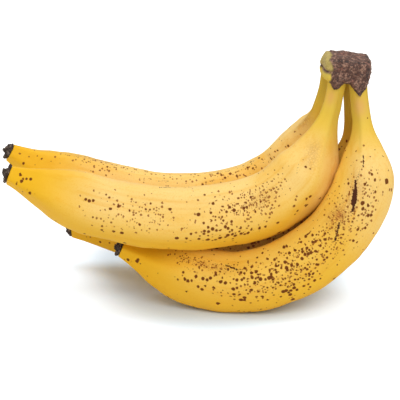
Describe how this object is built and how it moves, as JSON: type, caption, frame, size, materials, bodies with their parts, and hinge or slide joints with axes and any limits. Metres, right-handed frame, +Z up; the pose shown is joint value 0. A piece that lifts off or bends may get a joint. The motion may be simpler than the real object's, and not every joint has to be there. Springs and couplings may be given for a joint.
{
  "type": "banana bunch",
  "caption": "Bunch of ripe freckled bananas grown together at one brown crown, lying on its lower fingers with the dried blossom ends pointing to one side.",
  "frame": {"origin": "bottom centre of the bunch's box, on the surface that the two lower fingers lie on", "axes": "+X towards the crown, -X towards the blossom ends, +Y to the back of the bunch, +Z up"},
  "size_m": [0.2173, 0.0977, 0.1425],
  "materials": {
    "peel": "satin",
    "crown_skin": "matte",
    "dried_blossom": "matte"
  },
  "bodies": {
    "root": {"crown": "crown_skin", "finger_front_upper": "peel", "finger_back_upper": "peel", "finger_front_lower": "peel", "finger_back_lower": "peel", "blossom_end_front_upper": "dried_blossom", "blossom_end_back_upper": "dried_blossom", "blossom_end_front_lower": "dried_blossom", "blossom_end_back_lower": "dried_blossom"}
  },
  "joints": []
}
